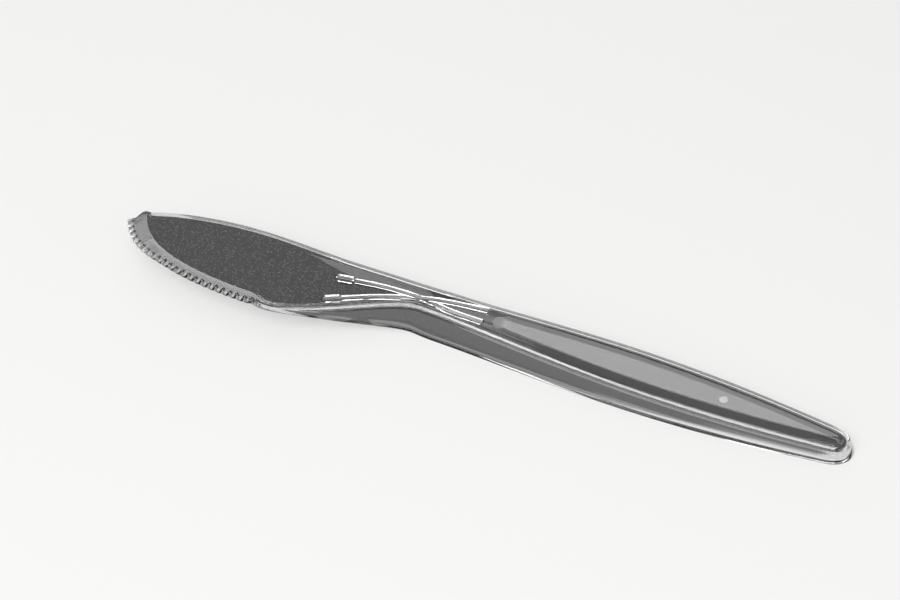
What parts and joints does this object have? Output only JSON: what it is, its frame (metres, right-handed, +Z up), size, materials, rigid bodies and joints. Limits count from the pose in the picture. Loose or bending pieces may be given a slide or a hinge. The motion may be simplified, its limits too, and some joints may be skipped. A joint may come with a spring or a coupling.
{
  "type": "disposable table knife",
  "caption": "Clear moulded table knife with a serrated bevelled edge, a channel-section handle open below and crossed stiffening ribs under the neck, for single use.",
  "frame": {"origin": "on the table, under the middle of the knife's bounding box", "axes": "+X along the handle towards its end, +Y from the cutting edge towards the spine, +Z up from the table"},
  "size_m": [0.1708, 0.0264, 0.009],
  "materials": {
    "clear_polystyrene": "glossy clear moulded polystyrene, smoke grey where it is thick"
  },
  "bodies": {
    "root": {"knife": "clear_polystyrene"}
  },
  "joints": []
}
